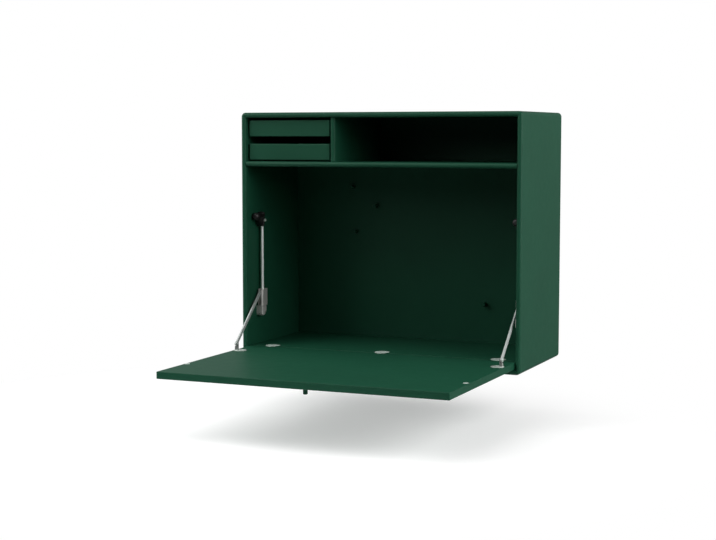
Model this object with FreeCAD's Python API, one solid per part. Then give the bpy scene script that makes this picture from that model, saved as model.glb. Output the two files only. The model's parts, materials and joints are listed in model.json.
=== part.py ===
import FreeCAD, Part
import math
import os

# Wall-mounted drop-front desk: a mitred lacquered carcass with a shelf, two tray drawers and a
# writing flap on three concealed hinges, held level by a sliding stay at each end.
# Millimetres. X runs along the wall, Y into the wall and Z up. The origin lies on the wall face,
# midway between the two screws of the hanging rail. The flap is modelled open.

Vector = FreeCAD.Vector

# Carcass
width = 696.0
height = 587.0
depth = 315.0
board = 12.0
nose_flat = 0.2
corner_blend = 4.1
back_board = 10.0
back_recess = 17.0
shelf_clear = 103.0
shelf_setback = 1.0
drawer_bay = 217.3

# Writing flap
flap_board = 16.0
flap_side_gap = 1.5
flap_top_gap = 0.9
flap_floor_gap = 0.3
flap_setback = 8.5
flap_edge_round = 1.5
seam_gap = 0.5
floor_edge_round = 0.6

# Concealed flap hinges
hinge_inset = 51.0
cup_radius = 17.5
cup_floor = 1.5
cup_reach = 13.0
cup_gap = 0.1
knuckle_radius = 4.0
knuckle_length = 10.0
knuckle_gap = 0.3
neck_thick = 5.0
leaf_length = 26.0
leaf_reach = 9.0
leaf_skin = 0.8
pin_radius = 2.0
pin_seat = 0.02
pin_play = 0.06
pin_recess = 0.5

# Knobs and pegs
peg_radius = 5.0
peg_length = 17.0
peg_bevel = 1.0
tenon_radius = 3.0
tenon_length = 7.0
tenon_gap = 0.05
knob_from_edge = 42.0
upper_peg_inset = 155.0
upper_peg_drop = 56.0
middle_peg_inset = 218.0
middle_peg_drop = 102.0
lower_peg_inset = 163.0
lower_peg_drop = 168.0
right_peg_inset = 166.0
right_peg_rise = 94.7

# Stays: guide rod, holders, slider and arm at each end
rod_setback = 66.0
rod_radius = 3.5
rod_seat = 0.03
rod_play = 0.08
socket_depth = 10.0
foot_height = 97.0
foot_tall = 24.0
foot_ahead = 13.5
foot_behind = 8.5
foot_reach = 17.0
foot_heel = 15.0
foot_toe = 5.0
foot_round = 3.5
head_height = 314.6
head_tall = 34.0
head_radius = 6.8
head_neck_rise = 24.4
head_boss = 0.5
head_boss_radius = 4.6
head_round = 2.5
head_web = 10.0
head_web_toe = 10.0
head_web_round = 2.0
neck_step = 1.7
buffer_radius = 9.2
buffer_wall_gap = 0.3
buffer_face_radius = 4.0
buffer_gap = 0.4
screw_radius = 3.8
screw_head = 2.0
screw_over_rod = 2.4
screw_shank_radius = 2.0
screw_shank_gap = 0.05
slider_tall = 40.5
slider_behind = 15.5
slider_wide = 13.0
slider_rest_gap = 0.3
slider_round = 2.5
slot_wall = 1.2
slot_gap = 0.9
slot_lip = 3.0
arm_shift = 0.7
arm_thick = 3.2
arm_width = 8.0
arm_eye_radius = 4.8
arm_eye_gap = 0.4
arm_pin_drop = 7.0
arm_pin_gap = 0.2
ear_gap = 0.3
ear_thick = 1.8
ear_radius = 4.4
post_radius = 4.5
post_gap = 0.5
rivet_radius = 2.0
rivet_seat = 0.02
rivet_play = 0.06
rivet_head_radius = 3.8
rivet_head = 1.3
rivet_head_gap = 0.3

# Plates on the flap
plate_radius = 15.0
plate_offset = 18.0
plate_thick = 2.0
plate_proud = 0.8
plate_gap = 0.1
plate_pivot_reach = 85.5
plate_pivot_rise = 15.5
strike_radius = 6.0
strike_thick = 1.8
strike_proud = 0.6

# Drawers
drawer_left_gap = 4.3
drawer_right_gap = 2.8
drawer_top_gap = 6.0
drawer_shelf_gap = 3.2
finger_gap = 17.4
drawer_front_board = 12.0
drawer_setback = 12.0
drawer_side_board = 10.0
drawer_side_drop = 7.5
drawer_back_gap = 16.0
drawer_edge_round = 1.8
tray_board = 4.0
tray_rise = 3.0
tray_groove = 3.0
runner_tall = 8.0
runner_rise = 13.0
runner_bite = 4.0
runner_gap = 0.3
runner_front_gap = 2.0

# Hanging rail on the wall and its hook bar on the back panel
rail_drop = 78.0
rail_end_gap = 36.0
rail_steel = 3.0
rail_below = 20.0
rail_above = 10.0
rail_standoff = 9.0
rail_lip = 22.0
rail_gap = 0.3
rail_screw_inset = 60.0
rail_screw_radius = 3.0
hook_clear = 1.0
hook_plate = 16.0

# Planes and levels that the sizes above fix
half = width / 2
inner = half - board
front = -depth
top = rail_drop
base = top - height
floor_level = base + board
ceiling = top - board
shelf_top = ceiling - shelf_clear
shelf_under = shelf_top - board
nose_radius = (board - nose_flat) / 2
corner_radius = nose_radius + corner_blend
back_rear = -back_recess
back_face = back_rear - back_board
divider_left = -inner + drawer_bay
divider_right = divider_left + board
shelf_front = front + shelf_setback
divider_front = shelf_front + nose_radius

flap_half = inner - flap_side_gap
flap_under = floor_level + flap_floor_gap
flap_top = flap_under + flap_board
flap_rear = front + flap_setback + flap_board
flap_length = shelf_under - flap_top_gap - flap_under
flap_front = flap_rear - flap_length
hinge_y = flap_rear - flap_board / 2
hinge_z = flap_under + flap_board / 2
cup_low = hinge_z - neck_thick / 2 - cup_floor
floor_front = flap_rear + seam_gap
hinge_reach = inner - hinge_inset
hinge_places = {"left": -hinge_reach, "middle": 0.0, "right": hinge_reach}

rod_x = inner - buffer_wall_gap - buffer_radius
rod_y = front + rod_setback
foot_under = base + foot_height
foot_top = foot_under + foot_tall
head_under = base + head_height
head_top = head_under + head_tall
head_face = rod_x - head_radius - head_boss
screw_z = head_under + socket_depth + screw_over_rod + screw_shank_radius
neck_radius = buffer_radius - neck_step
neck_z = head_under + head_neck_rise
buffer_front = flap_rear + strike_proud + buffer_gap
buffer_centre = buffer_front + math.sqrt(buffer_radius ** 2 - buffer_face_radius ** 2)
buffer_rear = buffer_centre + math.sqrt(buffer_radius ** 2 - neck_radius ** 2)
slider_under = foot_top + slider_rest_gap
slider_top = slider_under + slider_tall
slot_back = rod_y - rod_radius - rod_play - slot_wall
slider_pin_y = slot_back - arm_eye_gap - arm_eye_radius
slider_pin_z = slider_top - arm_pin_drop
slider_front = slider_pin_y - slot_lip
flap_pin_y = hinge_y - plate_pivot_reach
flap_pin_z = flap_top + plate_pivot_rise
arm_inner = rod_x + arm_shift - arm_thick / 2
arm_outer = arm_inner + arm_thick
ear_outer = arm_inner - ear_gap
ear_inner = ear_outer - ear_thick
post_top = flap_pin_z - arm_eye_radius - post_gap
post_top_radius = arm_thick / 2 + ear_gap + ear_thick
strike_x = rod_x
strike_y = hinge_y - (neck_z - hinge_z)
plate_x = inner - plate_offset

rail_half = inner - rail_end_gap
rail_screw_x = rail_half - rail_screw_inset


def block(x_low, x_high, y_low, y_high, z_low, z_high):
    corner = Vector(x_low, y_low, z_low)
    return Part.makeBox(x_high - x_low, y_high - y_low, z_high - z_low, corner)


def rod_along_x(radius, x_low, x_high, y, z):
    return Part.makeCylinder(radius, x_high - x_low, Vector(x_low, y, z), Vector(1, 0, 0))


def rod_along_y(radius, x, y_low, y_high, z):
    return Part.makeCylinder(radius, y_high - y_low, Vector(x, y_low, z), Vector(0, 1, 0))


def rod_along_z(radius, x, y, z_low, z_high):
    return Part.makeCylinder(radius, z_high - z_low, Vector(x, y, z_low))


def prism(points, direction):
    outline = Part.makePolygon(points + points[:1])
    return Part.Face(outline).extrude(direction)


def join(first, *others):
    return first.fuse(list(others)).removeSplitter()


def edges_on(shape, axis, level):
    chosen = []
    for edge in shape.Edges:
        limits = edge.BoundBox
        low = getattr(limits, axis + "Min")
        high = getattr(limits, axis + "Max")
        if abs(low - level) < 0.001 and abs(high - level) < 0.001:
            chosen.append(edge)
    return chosen


def edges_along(shape, axis):
    chosen = []
    for edge in shape.Edges:
        limits = edge.BoundBox
        run = getattr(limits, axis + "Length")
        others = limits.XLength + limits.YLength + limits.ZLength - run
        if run > 0.001 and others < 0.001:
            chosen.append(edge)
    return chosen


def shared(first, second):
    return [edge for edge in first if any(edge.isSame(other) for other in second)]


def mirrored(shape):
    return shape.mirror(Vector(0, 0, 0), Vector(1, 0, 0))


# Carcass: four boards mitred at the corners, with a rounded nose that runs round the front
def carcass_outline():
    solid = block(-half, half, front, 0, base, top)
    solid = solid.makeFillet(corner_radius, edges_along(solid, "Y"))
    return solid.makeFillet(nose_radius, edges_on(solid, "Y", front))


def mitred_board(outer_start, outer_end, inner_end, inner_start):
    corners = [Vector(x, front, z) for x, z in (outer_start, outer_end, inner_end, inner_start)]
    solid = prism(corners, Vector(0, depth, 0))
    middle = (corners[2] + corners[3]) / 2
    for edge in edges_on(solid, "Y", front):
        if edge.CenterOfMass.distanceToPoint(middle) < 0.001:
            inside_edge = edge
    solid = solid.makeFillet(nose_radius, [inside_edge])
    return solid.common(carcass_outline())


def carcass_boards():
    right_side = mitred_board((half, base), (half, top), (inner, ceiling), (inner, floor_level))
    return {
        "top_panel": mitred_board((-half, top), (half, top), (inner, ceiling), (-inner, ceiling)),
        "bottom_panel": mitred_board(
            (-half, base), (half, base), (inner, floor_level), (-inner, floor_level)),
        "right_side": right_side,
        "left_side": mirrored(right_side),
    }


def nosed_board(x_low, x_high, y_front, z_low, z_high, nose_axis):
    solid = block(x_low, x_high, y_front, back_face, z_low, z_high)
    nose = shared(edges_on(solid, "Y", y_front), edges_along(solid, nose_axis))
    return solid.makeFillet(nose_radius, nose)


# Three pegs are set out from the left side and the shelf, the fourth from the right side and the floor
def peg_places():
    return [
        (-inner + upper_peg_inset, shelf_under - upper_peg_drop),
        (-inner + middle_peg_inset, shelf_under - middle_peg_drop),
        (-inner + lower_peg_inset, shelf_under - lower_peg_drop),
        (inner - right_peg_inset, flap_top + right_peg_rise),
    ]


def back_panel():
    solid = block(-inner, inner, back_face, back_rear, floor_level, ceiling)
    for x, z in peg_places():
        hole = rod_along_y(tenon_radius + tenon_gap, x, back_face, back_face + tenon_length, z)
        solid = solid.cut(hole)
    return solid


# A turned peg, standing along +Z on the origin with its tenon below
def turned_peg():
    body = rod_along_z(peg_radius, 0, 0, 0, peg_length)
    body = body.makeChamfer(peg_bevel, edges_on(body, "Z", peg_length))
    return join(body, rod_along_z(tenon_radius, 0, 0, -tenon_length, 0))


def back_pegs():
    pegs = []
    for x, z in peg_places():
        peg = turned_peg()
        peg.rotate(Vector(0, 0, 0), Vector(1, 0, 0), 90)
        peg.translate(Vector(x, back_face, z))
        pegs.append(peg)
    return Part.makeCompound(pegs)


# Inner floor behind the flap, level with it, with a seat for each hinge cup
def cup_outline(x, radius):
    centre_y = floor_front + cup_reach
    disc = rod_along_z(radius, x, centre_y, cup_low, flap_top)
    behind = block(x - radius, x + radius, floor_front, centre_y + radius, cup_low, flap_top)
    return disc.common(behind)


def floor_panel():
    solid = block(-inner, inner, floor_front, back_face, floor_level, flap_top)
    lip = shared(edges_on(solid, "Y", floor_front), edges_on(solid, "Z", flap_top))
    solid = solid.makeFillet(floor_edge_round, lip)
    for x in hinge_places.values():
        solid = solid.cut(cup_outline(x, cup_radius + cup_gap))
    return solid


# Hinge: the cup with its knuckle stays in the floor, the leaf and the pin turn with the flap
def hinge_cup(x):
    left = x - knuckle_length / 2
    right = x + knuckle_length / 2
    knuckle = rod_along_x(knuckle_radius, left, right, hinge_y, hinge_z)
    low = hinge_z - neck_thick / 2
    neck = block(left, right, hinge_y, floor_front + cup_reach, low, low + neck_thick)
    body = join(cup_outline(x, cup_radius), knuckle, neck)
    return body.cut(rod_along_x(pin_radius + pin_play, left, right, hinge_y, hinge_z))


def leaf_block(x):
    reach = leaf_length / 2
    rise = knuckle_radius + knuckle_gap + leaf_skin
    return block(x - reach, x + reach, hinge_y - leaf_reach, flap_rear, hinge_z - rise, hinge_z + rise)


# The knuckle turns in a round room, and its neck swings through a slot from the rear to the top
def knuckle_room(x):
    slot_half = knuckle_length / 2 + knuckle_gap
    neck_half = neck_thick / 2 + knuckle_gap
    barrel = rod_along_x(
        knuckle_radius + knuckle_gap, x - slot_half, x + slot_half, hinge_y, hinge_z)
    sweep = block(
        x - slot_half, x + slot_half, hinge_y - neck_half, flap_rear, hinge_z - neck_half, flap_top)
    return join(barrel, sweep)


def hinge_leaf(x):
    bore = rod_along_x(
        pin_radius + pin_seat, x - leaf_length / 2, x + leaf_length / 2, hinge_y, hinge_z)
    return leaf_block(x).common(flap_slab()).cut([knuckle_room(x), bore])


def hinge_pin(x):
    reach = leaf_length / 2 - pin_recess
    return rod_along_x(pin_radius, x - reach, x + reach, hinge_y, hinge_z)


# Flap: a flat board with a half-round rear edge about the hinge axis
def flap_slab():
    slab = block(-flap_half, flap_half, flap_front, hinge_y, flap_under, flap_top)
    rim = edges_on(slab, "Y", flap_front) + shared(
        edges_along(slab, "Y"), edges_on(slab, "X", -flap_half) + edges_on(slab, "X", flap_half))
    slab = slab.makeFillet(flap_edge_round, rim)
    nose = rod_along_x(flap_board / 2, -flap_half, flap_half, hinge_y, hinge_z)
    return join(slab, nose)


def flap_panel():
    solid = flap_slab()
    seats = [leaf_block(x).fuse(knuckle_room(x)) for x in hinge_places.values()]
    for side in (-1, 1):
        seats.append(rod_along_z(
            plate_radius + plate_gap, side * plate_x, flap_pin_y,
            flap_top + plate_proud - plate_thick, flap_top))
        seats.append(rod_along_z(
            strike_radius + plate_gap, side * strike_x, strike_y,
            flap_top + strike_proud - strike_thick, flap_top))
    seats.append(rod_along_z(
        tenon_radius + tenon_gap, 0, flap_front + knob_from_edge, flap_under, flap_under + tenon_length))
    return solid.cut(seats)


def flap_knob():
    knob = turned_peg()
    knob.rotate(Vector(0, 0, 0), Vector(1, 0, 0), 180)
    knob.translate(Vector(0, flap_front + knob_from_edge, flap_under))
    return knob


# Stay plate: a disc let into the flap, with a post under the arm and a flat ear that carries its pin
def stay_plate():
    disc_low = flap_top + plate_proud - plate_thick
    disc = rod_along_z(plate_radius, plate_x, flap_pin_y, disc_low, flap_top + plate_proud)
    foot = Vector((arm_inner + arm_outer) / 2, flap_pin_y, flap_top)
    post = Part.makeCone(post_radius, post_top_radius, post_top - flap_top, foot)
    eye = rod_along_x(ear_radius, ear_inner, ear_outer, flap_pin_y, flap_pin_z)
    stem = block(
        ear_inner, ear_outer, flap_pin_y - ear_radius, flap_pin_y + ear_radius, flap_top, flap_pin_z)
    bore = rod_along_x(rivet_radius + rivet_seat, ear_inner, ear_outer, flap_pin_y, flap_pin_z)
    return join(disc, post, eye, stem).cut(bore)


def strike_plate():
    low = flap_top + strike_proud - strike_thick
    return rod_along_z(strike_radius, strike_x, strike_y, low, flap_top + strike_proud)


def plate_pin():
    head_inner = arm_outer + rivet_head_gap
    shank = rod_along_x(rivet_radius, ear_inner, head_inner, flap_pin_y, flap_pin_z)
    head = rod_along_x(rivet_head_radius, head_inner, head_inner + rivet_head, flap_pin_y, flap_pin_z)
    return join(shank, head)


# The upper rivet is fast in the arm's eye and stops short of the slider's cheeks
def arm_rivet():
    spare = slot_gap - arm_pin_gap
    return rod_along_x(rivet_radius, arm_inner - spare, arm_outer + spare, slider_pin_y, slider_pin_z)


# Arm: a flat steel link with an eye at each end
def stay_arm():
    start = Vector(arm_inner, flap_pin_y, flap_pin_z)
    end = Vector(arm_inner, slider_pin_y, slider_pin_z)
    run = end - start
    side = Vector(0, -run.z, run.y).normalize() * (arm_width / 2)
    arm = prism([start + side, end + side, end - side, start - side], Vector(arm_thick, 0, 0))
    for point in (start, end):
        arm = join(arm, rod_along_x(arm_eye_radius, arm_inner, arm_outer, point.y, point.z))
    lower_bore = rod_along_x(rivet_radius + rivet_play, arm_inner, arm_outer, start.y, start.z)
    upper_bore = rod_along_x(rivet_radius + rivet_seat, arm_inner, arm_outer, end.y, end.z)
    return arm.cut([lower_bore, upper_bore])


# Slider: a die-cast shoe on the rod, with an open slot in front that takes the arm's upper end
def stay_slider():
    left = rod_x - slider_wide / 2
    right = rod_x + slider_wide / 2
    shoe = block(left, right, slider_front, rod_y + slider_behind, slider_under, slider_top)
    shoe = shoe.makeFillet(slider_round, edges_along(shoe, "Z"))
    bore = rod_along_z(rod_radius + rod_play, rod_x, rod_y, slider_under, slider_top)
    slot = block(
        arm_inner - slot_gap, arm_outer + slot_gap, slider_front, slot_back, slider_under, slider_top)
    return shoe.cut([bore, slot])


def stay_rod():
    return rod_along_z(rod_radius, rod_x, rod_y, foot_top - socket_depth, head_under + socket_depth)


def foot_holder():
    solid = block(
        inner - foot_reach, inner, rod_y - foot_ahead, rod_y + foot_behind, foot_under, foot_top)
    lower = shared(edges_along(solid, "X"), edges_on(solid, "Z", foot_under))
    solid = solid.makeFillet(foot_heel, shared(lower, edges_on(solid, "Y", rod_y + foot_behind)))
    toe = shared(edges_on(solid, "Y", rod_y - foot_ahead), edges_on(solid, "Z", foot_under))
    solid = solid.makeFillet(foot_toe, toe)
    solid = solid.makeFillet(foot_round, edges_on(solid, "X", inner - foot_reach))
    socket = rod_along_z(rod_radius + rod_seat, rod_x, rod_y, foot_top - socket_depth, foot_top)
    return solid.cut(socket)


# Web under the head's neck, from the sleeve's foot up to the buffer
def head_web_plate():
    outline = [
        (rod_y, head_under),
        (rod_y - head_web_toe, head_under),
        (buffer_rear, neck_z - neck_radius),
        (buffer_rear, neck_z),
        (rod_y, neck_z),
    ]
    points = [Vector(rod_x - head_web / 2, y, z) for y, z in outline]
    web = prism(points, Vector(head_web, 0, 0))
    rims = edges_on(web, "X", rod_x - head_web / 2) + edges_on(web, "X", rod_x + head_web / 2)
    return web.makeFillet(head_web_round, rims)


# Head holder: a moulded sleeve on the rod's upper end, with a neck that carries the buffer
def head_holder():
    sleeve = rod_along_z(head_radius, rod_x, rod_y, head_under, head_top)
    pad = block(rod_x, inner, rod_y - head_radius, rod_y + head_radius, head_under, head_top)
    body = join(sleeve, pad)
    rim = [edge for edge in edges_on(body, "Z", head_top) if edge.BoundBox.XMin < inner - head_round]
    body = body.makeFillet(head_round, rim)
    boss = rod_along_x(head_boss_radius, head_face, rod_x, rod_y, screw_z)
    neck = rod_along_y(neck_radius, rod_x, buffer_rear, rod_y, neck_z)
    socket = rod_along_z(rod_radius + rod_seat, rod_x, rod_y, head_under, head_under + socket_depth)
    shank = rod_along_x(screw_shank_radius + screw_shank_gap, head_face, inner, rod_y, screw_z)
    return join(body, boss, neck, head_web_plate()).cut([socket, shank])


# Buffer: a rubber bulb on the neck, a ball with a flat face towards the flap
def stay_buffer():
    axis_front = Vector(rod_x, buffer_front, neck_z)
    axis_rear = Vector(rod_x, buffer_rear, neck_z)
    face_rim = Vector(rod_x + buffer_face_radius, buffer_front, neck_z)
    widest = Vector(rod_x + buffer_radius, buffer_centre, neck_z)
    neck_rim = Vector(rod_x + neck_radius, buffer_rear, neck_z)
    outline = Part.Wire([
        Part.makeLine(axis_front, face_rim),
        Part.Arc(face_rim, widest, neck_rim).toShape(),
        Part.makeLine(neck_rim, axis_rear),
        Part.makeLine(axis_rear, axis_front),
    ])
    return Part.Face(outline).revolve(axis_front, Vector(0, 1, 0), 360)


def holder_screw():
    head = rod_along_x(screw_radius, head_face - screw_head, head_face, rod_y, screw_z)
    shank = rod_along_x(screw_shank_radius, head_face, inner, rod_y, screw_z)
    return join(head, shank)


def stays():
    pieces = {
        "stay_rod": stay_rod(),
        "stay_foot_holder": foot_holder(),
        "stay_head_holder": head_holder(),
        "stay_buffer": stay_buffer(),
        "stay_holder_screw": holder_screw(),
        "stay_slider": stay_slider(),
        "stay_arm": stay_arm(),
        "stay_arm_rivet": arm_rivet(),
        "stay_plate": stay_plate(),
        "stay_plate_pin": plate_pin(),
        "strike_plate": strike_plate(),
    }
    found = {}
    for name, shape in pieces.items():
        found[name + "_right"] = shape
        found[name + "_left"] = mirrored(shape)
    return found


# Drawers: two trays that run on grooved sides
drawer_left = -inner + drawer_left_gap
drawer_right = divider_left - drawer_right_gap
drawer_face = front + drawer_setback
drawer_box_front = drawer_face + drawer_front_board
drawer_rear = back_face - drawer_back_gap
drawer_front_tall = (shelf_clear - drawer_top_gap - drawer_shelf_gap - finger_gap) / 2
drawer_side_tall = drawer_front_tall - drawer_side_drop
drawer_levels = {
    "upper": ceiling - drawer_top_gap - drawer_front_tall,
    "lower": shelf_top + drawer_shelf_gap,
}


def drawer_side(x_outer, x_inner, level):
    low = min(x_outer, x_inner)
    high = max(x_outer, x_inner)
    inward = 1 if x_inner > x_outer else -1
    solid = block(low, high, drawer_box_front, drawer_rear, level, level + drawer_side_tall)
    depth_x = x_outer + inward * (runner_bite + runner_gap)
    groove = block(
        min(x_outer, depth_x), max(x_outer, depth_x), drawer_box_front, drawer_rear,
        level + runner_rise - runner_gap, level + runner_rise + runner_tall + runner_gap)
    tray_x = x_inner - inward * tray_groove
    tray_slot = block(
        min(x_inner, tray_x), max(x_inner, tray_x), drawer_box_front, drawer_rear,
        level + tray_rise, level + tray_rise + tray_board)
    return solid.cut([groove, tray_slot])


def drawer_pieces(name, level):
    box_left = drawer_left + drawer_side_board
    box_right = drawer_right - drawer_side_board
    tray_low = level + tray_rise
    tray_high = tray_low + tray_board
    face = block(
        drawer_left, drawer_right, drawer_face, drawer_box_front, level, level + drawer_front_tall)
    face = face.makeFillet(drawer_edge_round, edges_on(face, "Y", drawer_face))
    tray = block(
        box_left - tray_groove, box_right + tray_groove, drawer_box_front - tray_groove, drawer_rear,
        tray_low, tray_high)
    rear = block(
        box_left, box_right, drawer_rear - drawer_side_board, drawer_rear,
        tray_high, level + drawer_side_tall)
    return {
        name + "_drawer_front": face.cut(tray),
        name + "_drawer_left_side": drawer_side(drawer_left, box_left, level),
        name + "_drawer_right_side": drawer_side(drawer_right, box_right, level),
        name + "_drawer_back": rear,
        name + "_drawer_bottom": tray,
    }


def runners(name, level):
    low = level + runner_rise
    run_front = drawer_box_front + runner_front_gap
    left_end = drawer_left + runner_bite
    right_end = drawer_right - runner_bite
    return {
        name + "_left_runner": block(-inner, left_end, run_front, drawer_rear, low, low + runner_tall),
        name + "_right_runner": block(
            right_end, divider_left, run_front, drawer_rear, low, low + runner_tall),
    }


# Hanging hardware: a stepped rail on the wall, and a hook bar on the back panel over its lip
def wall_rail():
    lip_back = -rail_standoff + rail_steel
    lip_top = rail_above + rail_lip
    outline = [
        (0, -rail_below),
        (0, rail_above + rail_steel),
        (lip_back, rail_above + rail_steel),
        (lip_back, lip_top),
        (-rail_standoff, lip_top),
        (-rail_standoff, rail_above),
        (-rail_steel, rail_above),
        (-rail_steel, -rail_below),
    ]
    points = [Vector(-rail_half, y, z) for y, z in outline]
    rail = prism(points, Vector(2 * rail_half, 0, 0))
    holes = [
        rod_along_y(rail_screw_radius, side * rail_screw_x, -rail_steel, 0, 0)
        for side in (-1, 1)
    ]
    return rail.cut(holes)


def hook_bar():
    rest = rail_above + rail_lip
    hook_front = -rail_standoff + rail_steel + rail_gap
    hook_back = hook_front + rail_steel
    hook_low = rail_above + rail_steel + hook_clear
    outline = [
        (back_rear, rest),
        (back_rear, rest + hook_plate),
        (back_rear + rail_steel, rest + hook_plate),
        (back_rear + rail_steel, rest + rail_steel),
        (hook_back, rest + rail_steel),
        (hook_back, hook_low),
        (hook_front, hook_low),
        (hook_front, rest),
    ]
    points = [Vector(-rail_half, y, z) for y, z in outline]
    return prism(points, Vector(2 * rail_half, 0, 0))


def desk():
    nodes = carcass_boards()
    nodes["back_panel"] = back_panel()
    nodes["back_pegs"] = back_pegs()
    nodes["shelf"] = nosed_board(-inner, inner, shelf_front, shelf_under, shelf_top, "X")
    nodes["divider"] = nosed_board(
        divider_left, divider_right, divider_front, shelf_top, ceiling, "Z")
    nodes["floor_panel"] = floor_panel()
    nodes["wall_rail"] = wall_rail()
    nodes["hook_bar"] = hook_bar()
    nodes["flap_panel"] = flap_panel()
    nodes["flap_knob"] = flap_knob()
    for place, x in hinge_places.items():
        nodes["hinge_cup_" + place] = hinge_cup(x)
        nodes["hinge_leaf_" + place] = hinge_leaf(x)
    nodes["hinge_pins"] = Part.makeCompound([hinge_pin(x) for x in hinge_places.values()])
    nodes.update(stays())
    for name, level in drawer_levels.items():
        nodes.update(drawer_pieces(name, level))
        nodes.update(runners(name, level))
    return nodes


def export(nodes):
    os.makedirs("parts", exist_ok=True)
    for name, shape in nodes.items():
        shape.exportStep("parts/" + name + ".step")


if __name__ == "__main__":
    export(desk())
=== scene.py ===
import json
import math
import bpy
import bmesh
from mathutils import Matrix, Vector


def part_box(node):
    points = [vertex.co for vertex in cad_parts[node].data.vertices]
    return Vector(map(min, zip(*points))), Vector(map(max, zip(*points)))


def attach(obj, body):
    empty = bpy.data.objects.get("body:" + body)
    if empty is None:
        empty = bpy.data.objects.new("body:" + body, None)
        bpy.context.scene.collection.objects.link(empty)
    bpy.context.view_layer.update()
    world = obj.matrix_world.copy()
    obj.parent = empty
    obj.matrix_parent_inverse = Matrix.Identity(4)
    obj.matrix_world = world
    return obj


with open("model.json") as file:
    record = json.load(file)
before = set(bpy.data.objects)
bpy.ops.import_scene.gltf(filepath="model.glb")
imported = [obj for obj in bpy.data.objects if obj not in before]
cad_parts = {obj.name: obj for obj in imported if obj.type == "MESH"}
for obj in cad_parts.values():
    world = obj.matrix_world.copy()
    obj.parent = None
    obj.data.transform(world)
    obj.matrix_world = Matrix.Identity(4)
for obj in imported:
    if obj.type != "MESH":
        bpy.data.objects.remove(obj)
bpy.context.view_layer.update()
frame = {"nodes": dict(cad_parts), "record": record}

nodes = frame["nodes"]
scene = bpy.context.scene
print("frame in:", len(nodes), "nodes")


# a feed is another node's output or a plain value
def plug(tree, feed, socket):
    if isinstance(feed, bpy.types.NodeSocket):
        tree.links.new(feed, socket)
    else:
        socket.default_value = feed


def addNode(tree, kind, feeds=None, **settings):
    node = tree.nodes.new(kind)
    for key, value in settings.items():
        setattr(node, key, value)
    for label, feed in (feeds or {}).items():
        plug(tree, feed, node.inputs[label])
    return node


def mathNode(tree, operation, *feeds):
    return addNode(tree, "ShaderNodeMath", dict(enumerate(feeds)), operation=operation).outputs[0]


# moves a value from one span to another and keeps it inside
def spanNode(tree, value, spanIn, spanOut, curve="LINEAR"):
    labels = ("Value", "From Min", "From Max", "To Min", "To Max")
    feeds = dict(zip(labels, (value, *spanIn, *spanOut)))
    return addNode(tree, "ShaderNodeMapRange", feeds, interpolation_type=curve).outputs["Result"]


def mixNumber(tree, share, first, second):
    feeds = {"Factor": share, "A": first, "B": second}
    return addNode(tree, "ShaderNodeMix", feeds, data_type="FLOAT").outputs["Result"]


def finishMesh(bm, name):
    mesh = bpy.data.meshes.new(name)
    bm.to_mesh(mesh)
    bm.free()
    piece = bpy.data.objects.new(name, mesh)
    scene.collection.objects.link(piece)
    return piece


# fine skin shared by lacquer, plastic and metals: its inputs, each with its kind and usual value
skinInputs = {
    "Color": ("NodeSocketColor", (0.5, 0.5, 0.5)),
    "Drift": ("NodeSocketFloat", 0.05),
    "Rough": ("NodeSocketFloat", 0.4),
    "Rough Spread": ("NodeSocketFloat", 0.05),
    "Grain Scale": ("NodeSocketFloat", 600.0),
    "Stretch": ("NodeSocketVector", (1.0, 1.0, 1.0)),
    "Shade From": ("NodeSocketFloat", 0.0),
    "Shade To": ("NodeSocketFloat", 1.0),
    "Shade Tone": ("NodeSocketFloat", 1.0),
    "Edge X": ("NodeSocketFloat", 0.0),
    "Edge Y": ("NodeSocketFloat", 0.0),
    "Edge Reach": ("NodeSocketFloat", 0.001),
    "Edge Gain": ("NodeSocketFloat", 1.0),
}
skinOutputs = {"Color": "NodeSocketColor", "Roughness": "NodeSocketFloat", "Height": "NodeSocketFloat"}
skinNoise = dict(
    slow=dict(Scale=9.0, Detail=3.0, Roughness=0.55),
    patch=dict(Scale=55.0, Detail=4.0, Roughness=0.6),
    grain=dict(Detail=2.0, Roughness=0.5),
    slowSpan=(0.25, 0.75), middle=0.5,
)


def socketValue(kind, value):
    return (*value, 1.0) if kind == "NodeSocketColor" else value


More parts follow.
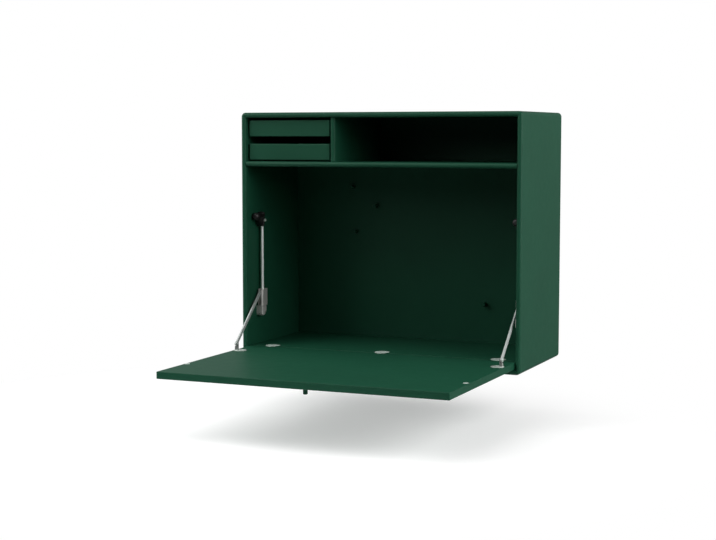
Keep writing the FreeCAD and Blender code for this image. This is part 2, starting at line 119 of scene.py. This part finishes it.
# slow tone drift, rough patches and a tiny height
def makeSkinGroup():
    group = bpy.data.node_groups.new("surfaceSkin", "ShaderNodeTree")
    for label, (kind, usual) in skinInputs.items():
        socket = group.interface.new_socket(label, in_out="INPUT", socket_type=kind)
        socket.default_value = socketValue(kind, usual)
    for label, kind in skinOutputs.items():
        group.interface.new_socket(label, in_out="OUTPUT", socket_type=kind)
    given = group.nodes.new("NodeGroupInput").outputs
    wanted = group.nodes.new("NodeGroupOutput").inputs
    spot = group.nodes.new("ShaderNodeTexCoord").outputs["Object"]
    drawn = addNode(group, "ShaderNodeMapping", {"Vector": spot, "Scale": given["Stretch"]}).outputs["Vector"]

    def noise(look, **feeds):
        return addNode(group, "ShaderNodeTexNoise", dict(look, **feeds)).outputs["Fac"]

    def plan(x, y):
        return addNode(group, "ShaderNodeCombineXYZ", {"X": x, "Y": y}).outputs["Vector"]

    slow = noise(skinNoise["slow"], Vector=spot)
    patch = noise(skinNoise["patch"], Vector=drawn)
    grain = noise(skinNoise["grain"], Vector=drawn, Scale=given["Grain Scale"])
    # tone: colour times a level that swings by the drift to either side of one
    low = mathNode(group, "SUBTRACT", 1.0, given["Drift"])
    high = mathNode(group, "ADD", 1.0, given["Drift"])
    swing = spanNode(group, slow, skinNoise["slowSpan"], (low, high))
    # another tone above a height, for a post on its plate
    place = addNode(group, "ShaderNodeSeparateXYZ", {"Vector": spot}).outputs
    shade = spanNode(group, place["Z"], (given["Shade From"], given["Shade To"]), (1.0, given["Shade Tone"]))
    # a painted highlight: a bright line along an upright edge, the same on both ends of the desk
    mirrored = plan(mathNode(group, "ABSOLUTE", place["X"]), place["Y"])
    edge = plan(given["Edge X"], given["Edge Y"])
    away = addNode(group, "ShaderNodeVectorMath", {0: mirrored, 1: edge}, operation="DISTANCE")
    paintedHighlight = spanNode(group, away.outputs["Value"], (0.0, given["Edge Reach"]), (given["Edge Gain"], 1.0),
                      "SMOOTHSTEP")
    level = mathNode(group, "MULTIPLY", mathNode(group, "MULTIPLY", swing, shade), paintedHighlight)
    tone = addNode(group, "ShaderNodeVectorMath", {0: given["Color"], "Scale": level}, operation="SCALE")
    # roughness: patchy round its middle value
    patchy = mathNode(group, "SUBTRACT", patch, skinNoise["middle"])
    rough = mathNode(group, "MULTIPLY_ADD", patchy, given["Rough Spread"], given["Rough"])
    plug(group, tone.outputs["Vector"], wanted["Color"])
    plug(group, rough, wanted["Roughness"])
    plug(group, grain, wanted["Height"])
    return group


skinGroup = makeSkinGroup()


# "Rough Spread" is roughSpread in a finish's settings
def settingName(label):
    return label[0].lower() + label[1:].replace(" ", "")


def skinMaterial(name, look):
    mat = bpy.data.materials.new(name)
    mat.use_nodes = True
    tree = mat.node_tree
    shader = tree.nodes["Principled BSDF"].inputs
    skin = addNode(tree, "ShaderNodeGroup", node_tree=skinGroup)
    for label, (kind, usual) in skinInputs.items():
        skin.inputs[label].default_value = socketValue(kind, look.get(settingName(label), usual))
    relief = {"Height": skin.outputs["Height"], "Strength": look["bump"], "Distance": look["bumpDepth"]}
    bump = addNode(tree, "ShaderNodeBump", relief)
    plug(tree, skin.outputs["Color"], shader["Base Color"])
    plug(tree, skin.outputs["Roughness"], shader["Roughness"])
    plug(tree, bump.outputs["Normal"], shader["Normal"])
    shader["Metallic"].default_value = look["metallic"]
    shader["Specular IOR Level"].default_value = look["specular"]
    return mat


# places on the stays, in metres: how far the round plates stand past the strike plates, where the post's
# tone starts and is full above its plate, and how far the painted highlight line lies behind the slider's
# front
stayMarks = dict(prouder=0.0002, toneStart=0.0002, toneFull=0.0019, highlightBack=0.00278)
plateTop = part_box("strike_plate_left")[1][2] + stayMarks["prouder"]
sliderX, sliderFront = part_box("stay_slider_right")[0][:2]

zincLook = dict(color=(0.56, 0.54, 0.525), drift=0.20, rough=0.30, roughSpread=0.22, grainScale=420.0,
                bump=0.25, bumpDepth=0.0003, metallic=0.50, specular=0.5)
finishes = {
    "green_lacquer": dict(
        color=(0.0088, 0.062, 0.0335), drift=0.05, rough=0.44, roughSpread=0.08, grainScale=1100.0,
        bump=0.10, bumpDepth=0.0002, metallic=0.0, specular=0.12),
    "nickel": dict(
        color=(0.62, 0.71, 0.655), drift=0.04, rough=0.52, roughSpread=0.14, grainScale=900.0,
        bump=0.05, bumpDepth=0.0001, metallic=0.45, specular=0.5),
    "post_nickel": dict(
        color=(0.60, 0.66, 0.62), drift=0.04, rough=0.46, roughSpread=0.14, grainScale=900.0,
        bump=0.05, bumpDepth=0.0001, metallic=0.60, specular=0.5,
        shadeFrom=plateTop + stayMarks["toneStart"], shadeTo=plateTop + stayMarks["toneFull"],
        shadeTone=0.34),
    "bright_steel": dict(
        color=(0.92, 0.94, 0.93), drift=0.03, rough=0.46, roughSpread=0.16, grainScale=800.0,
        stretch=(1.0, 1.0, 0.05), bump=0.06, bumpDepth=0.0001, metallic=0.55, specular=0.5),
    "satin_steel": dict(
        color=(0.45, 0.48, 0.465), drift=0.03, rough=0.62, roughSpread=0.16, grainScale=800.0,
        bump=0.06, bumpDepth=0.0001, metallic=0.60, specular=0.3),
    "zinc_casting": zincLook,
    # the slider's zinc with a painted highlight: a brighter line along its inner front edge
    "zinc_painted_highlight": dict(
        zincLook, edgeX=sliderX, edgeY=sliderFront + stayMarks["highlightBack"],
        edgeReach=0.0046, edgeGain=1.80),
    "black_plastic": dict(
        color=(0.0075, 0.0075, 0.0078), drift=0.08, rough=0.42, roughSpread=0.12, grainScale=1400.0,
        bump=0.18, bumpDepth=0.0002, metallic=0.0, specular=0.4),
    "black_rubber": dict(
        color=(0.011, 0.011, 0.011), drift=0.10, rough=0.40, roughSpread=0.12, grainScale=1600.0,
        bump=0.15, bumpDepth=0.0002, metallic=0.0, specular=0.4),
    "galvanised_steel": dict(
        color=(0.50, 0.51, 0.53), drift=0.12, rough=0.38, roughSpread=0.25, grainScale=160.0,
        bump=0.10, bumpDepth=0.0002, metallic=1.0, specular=0.5),
}

# pieces whose finish isn't their slot's own, by the start of their name
finishChanges = {
    "stay_arm_": "satin_steel",
    "stay_plate_left": "post_nickel",
    "stay_plate_right": "post_nickel",
    # the sliders take the zinc with the painted highlight line
    "stay_slider_": "zinc_painted_highlight",
}
materials = {name: skinMaterial(name, look) for name, look in finishes.items()}
for row in frame["record"]["subparts"]:
    finish = row["material_slot"]
    for start, other in finishChanges.items():
        if row["node"].startswith(start):
            finish = other
    for slot in nodes[row["node"]].material_slots:
        slot.material = materials[finish]
print("finishes on:", len(materials))

# cross-head screws that hold the fittings: dome gives shares of the radius and of the rise, and rise and
# cross sizes are shares of the radius; turns are in radians, the rest in metres
screwLook = dict(
    dome=((0.0, 1.0), (0.45, 0.94), (0.80, 0.66), (0.97, 0.25), (1.0, 0.0)), rings=28, rise=0.22, seat=0.0003,
    crossReach=0.62, crossWide=0.21, crossDepth=0.16, facingUp=0.3, mergeGap=1e-6,
    firstTurn=0.3, nextTurn=0.7,
)
screwSets = {
    "hingeScrews": dict(body="cabinet", slot="nickel", radius=0.0031, spread=0.0095, back=0.002),
    "plateScrews": dict(body="flap", slot="nickel", radius=0.0031, spread=0.0080, inward=0.0035),
    "hookScrews": dict(body="cabinet", slot="galvanised_steel", radius=0.0042,
                       places=(-0.255, -0.085, 0.085, 0.255), thick=0.003, down=0.0065),
}


# one domed head on the origin, facing up, with a cross sunk in it
def screwHead(radius):
    bm = bmesh.new()
    rise = radius * screwLook["rise"]
    outline = [(out * radius, up * rise) for out, up in screwLook["dome"]]
    outline += [(radius, -screwLook["seat"]), (0.0, -screwLook["seat"])]
    verts = [bm.verts.new((x, 0.0, z)) for x, z in outline]
    edges = [bm.edges.new(pair) for pair in zip(verts, verts[1:])]
    bmesh.ops.spin(bm, geom=verts + edges, cent=(0, 0, 0), axis=(0, 0, 1), angle=math.tau,
                   steps=screwLook["rings"], use_merge=True)
    bmesh.ops.remove_doubles(bm, verts=bm.verts, dist=screwLook["mergeGap"])
    bmesh.ops.recalc_face_normals(bm, faces=bm.faces)
    reach = radius * screwLook["crossReach"]
    half = radius * screwLook["crossWide"] / 2
    for axis in ((1, 0, 0), (0, 1, 0)):
        for place in (-reach, -half, half, reach):
            whole = bm.verts[:] + bm.edges[:] + bm.faces[:]
            bmesh.ops.bisect_plane(bm, geom=whole, plane_co=Vector(axis) * place, plane_no=axis)
    sunk = []
    for face in bm.faces:
        mid = face.calc_center_median()
        across, along = sorted((abs(mid.x), abs(mid.y)))
        if face.normal.z > screwLook["facingUp"] and across < half and along < reach:
            sunk.append(face)
    grown = bmesh.ops.extrude_face_region(bm, geom=sunk)["geom"]
    bmesh.ops.translate(bm, verts=[item for item in grown if isinstance(item, bmesh.types.BMVert)],
                        vec=(0, 0, -radius * screwLook["crossDepth"]))
    bmesh.ops.delete(bm, geom=[face for face in sunk if face.is_valid], context="FACES_ONLY")
    return bm


# heads at the given spots, facing one way, each with its cross turned further than the last
def screwPiece(name, spots, way):
    look = screwSets[name]
    faced = Vector(way).to_track_quat("Z", "Y").to_matrix().to_4x4()
    whole = bmesh.new()
    for number, spot in enumerate(spots):
        head = screwHead(look["radius"])
        turn = Matrix.Rotation(screwLook["firstTurn"] + screwLook["nextTurn"] * number, 4, "Z")
        bmesh.ops.transform(head, matrix=Matrix.Translation(spot) @ faced @ turn, verts=head.verts)
        mesh = bpy.data.meshes.new("head")
        head.to_mesh(mesh)
        head.free()
        whole.from_mesh(mesh)
        bpy.data.meshes.remove(mesh)
    piece = finishMesh(whole, name)
    piece.data.materials.append(materials[look["slot"]])
    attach(piece, look["body"])


# two on each round hinge plate, a little behind its middle
def hingeSpots(look):
    spots = []
    for side in ("left", "middle", "right"):
        low, high = [Vector(corner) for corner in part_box("hinge_cup_" + side)]
        middle = (low.x + high.x) / 2
        cup = high.y - (high.x - low.x) / 2
        spots += [(middle + step * look["spread"], cup + look["back"], high.z) for step in (-1, 1)]
    return spots


# two on each stay plate, on the side of the post that faces the desk's middle
def plateSpots(look):
    spots = []
    for side in ("left", "right"):
        low, high = [Vector(corner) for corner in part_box("stay_plate_" + side)]
        middle = (low.x + high.x) / 2
        x = middle - math.copysign(look["inward"], middle)
        spots += [(x, (low.y + high.y) / 2 + step * look["spread"], plateTop) for step in (-1, 1)]
    return spots


# a row along the hook bar, on the side that faces the wall
def hookSpots(look):
    low, high = [Vector(corner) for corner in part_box("hook_bar")]
    return [(x, low.y + look["thick"], high.z - look["down"]) for x in look["places"]]


screwPiece("hingeScrews", hingeSpots(screwSets["hingeScrews"]), (0, 0, 1))
screwPiece("plateScrews", plateSpots(screwSets["plateScrews"]), (0, 0, 1))
screwPiece("hookScrews", hookSpots(screwSets["hookScrews"]), (0, 1, 0))
print("screws in:", len(screwSets), "sets")


# 1 for what the camera, a reflection or a see-through ray meets, 0 for the light that falls on things
def seenRays(tree):
    rays = tree.nodes.new("ShaderNodeLightPath").outputs
    either = mathNode(tree, "MAXIMUM", rays["Is Camera Ray"], rays["Is Glossy Ray"])
    return rays["Is Camera Ray"], mathNode(tree, "MAXIMUM", either, rays["Is Transmission Ray"])


# what reflections show of the room, from in front of the desk (-1) to behind it (1), and the even light
room = dict(frontGlow=0.09, frontEnd=-0.3, backGlow=0.31, backStart=0.4, ambient=0.01)


# white for the camera, a dimmer room in reflections, and a low even light for the rest
def buildWorld():
    world = bpy.data.worlds.new("studioWorld")
    scene.world = world
    world.use_nodes = True
    tree = world.node_tree
    sky = tree.nodes["Background"].inputs
    sky["Color"].default_value = (1, 1, 1, 1)
    camera, seen = seenRays(tree)
    coords = tree.nodes.new("ShaderNodeTexCoord").outputs["Generated"]
    depth = addNode(tree, "ShaderNodeSeparateXYZ", {"Vector": coords}).outputs["Y"]
    glow = spanNode(tree, depth, (room["frontEnd"], room["backStart"]), (room["frontGlow"], room["backGlow"]),
                    "SMOOTHSTEP")
    shown = mathNode(tree, "MAXIMUM", camera, glow)
    plug(tree, mixNumber(tree, seen, room["ambient"], shown), sky["Strength"])


# pale floor that fades to white, in metres; the tones are how much light it gives back, as the camera
# sees it and as it falls on the desk
floorLook = dict(
    height=-0.634, size=60.0, middle=(-0.16, -0.54), seenTone=0.80, nearTone=0.95, farTone=0.25, farFrom=0.5,
    farTo=0.9, glow=0.37, glossGlow=0.22, fadeFrom=0.42, fadeTo=1.0,
)
colorSockets = dict(first=6, second=7, result=2)    # places of a Mix node's colour sockets


def floorMaterial():
    mat = bpy.data.materials.new("paleFloor")
    mat.use_nodes = True
    tree = mat.node_tree
    tree.nodes.remove(tree.nodes["Principled BSDF"])
    camera, seen = seenRays(tree)
    spot = tree.nodes.new("ShaderNodeTexCoord").outputs["Object"]
    middle = (*floorLook["middle"], floorLook["height"])
    away = addNode(tree, "ShaderNodeVectorMath", {0: spot, 1: middle}, operation="DISTANCE").outputs["Value"]
    # the floor throws less light back further from the desk
    thrown = spanNode(tree, away, (floorLook["farFrom"], floorLook["farTo"]),
                      (floorLook["nearTone"], floorLook["farTone"]), "SMOOTHSTEP")
    pale = (floorLook["seenTone"],) * 3 + (1,)
    feeds = {"Factor": camera, colorSockets["first"]: thrown, colorSockets["second"]: pale}
    tone = addNode(tree, "ShaderNodeMix", feeds, data_type="RGBA").outputs[colorSockets["result"]]
    matt = addNode(tree, "ShaderNodeBsdfDiffuse", {"Color": tone})
    # full white for the camera, a dimmer white in reflections
    whiteness = mixNumber(tree, camera, floorLook["glossGlow"], 1.0)
    glowSeen = mathNode(tree, "MULTIPLY", mathNode(tree, "MULTIPLY", seen, whiteness), floorLook["glow"])
    glow = addNode(tree, "ShaderNodeEmission", {"Strength": glowSeen})
    near = addNode(tree, "ShaderNodeAddShader", {0: matt.outputs[0], 1: glow.outputs[0]})
    white = addNode(tree, "ShaderNodeEmission", {"Strength": whiteness})
    fade = spanNode(tree, away, (floorLook["fadeFrom"], floorLook["fadeTo"]), (0.0, 1.0), "SMOOTHSTEP")
    fadeSeen = mathNode(tree, "MULTIPLY", fade, seen)
    mix = addNode(tree, "ShaderNodeMixShader", {0: fadeSeen, 1: near.outputs[0], 2: white.outputs[0]})
    plug(tree, mix.outputs[0], tree.nodes["Material Output"].inputs["Surface"])
    return mat


def buildFloor():
    bm = bmesh.new()
    bmesh.ops.create_grid(bm, x_segments=1, y_segments=1, size=floorLook["size"] / 2,
                          matrix=Matrix.Translation((0, 0, floorLook["height"])))
    floor = finishMesh(bm, "studioFloor")
    floor.data.materials.append(floorMaterial())


def aimAt(obj, at, to):
    obj.location = at
    obj.rotation_euler = (Vector(to) - Vector(at)).to_track_quat("-Z", "Y").to_euler()
    scene.collection.objects.link(obj)


# square soft boxes at one distance from the desk, in metres; turn from the front (right positive) and
# rise are in degrees
softBox = dict(aim=(0.0, -0.25, -0.25), away=3.4, size=2.1)
lamps = [
    dict(name="keyBox", turn=-25.0, rise=30.0, watts=14.0),
    dict(name="leftKeyBox", turn=-50.0, rise=30.0, watts=46.0),
    dict(name="leftHighBox", turn=-50.0, rise=50.0, watts=18.0),
    dict(name="topBox", turn=-25.0, rise=72.0, watts=29.0),
    dict(name="leftRearBox", turn=-100.0, rise=20.0, watts=70.0),
    dict(name="rightKeyBox", turn=75.0, rise=24.0, watts=74.0),
    dict(name="rightLowBox", turn=100.0, rise=12.0, watts=54.0),
]


def buildLamps():
    for lamp in lamps:
        light = bpy.data.lights.new(lamp["name"], "AREA")
        light.shape = "SQUARE"
        light.size = softBox["size"]
        light.energy = lamp["watts"]
        turn, rise = math.radians(lamp["turn"]), math.radians(lamp["rise"])
        way = Vector((math.sin(turn) * math.cos(rise), -math.cos(turn) * math.cos(rise), math.sin(rise)))
        at = Vector(softBox["aim"]) + way * softBox["away"]
        aimAt(bpy.data.objects.new(lamp["name"], light), at, softBox["aim"])


# the photo's own view, fitted to the desk's edges; lens and sensor in millimetres
photoView = dict(at=(1.3252, -3.4866, 0.0264), to=(-0.0446, -0.315, -0.2864), lens=75.26, sensor=36.0)


def buildCamera():
    lens = bpy.data.cameras.new("photoCamera")
    lens.lens = photoView["lens"]
    lens.sensor_width = photoView["sensor"]
    camera = bpy.data.objects.new("photoCamera", lens)
    aimAt(camera, photoView["at"], photoView["to"])
    scene.camera = camera
    scene.view_settings.view_transform = "Standard"


buildWorld()
buildFloor()
buildLamps()
buildCamera()
print("studio up:", len(lamps), "lamps")
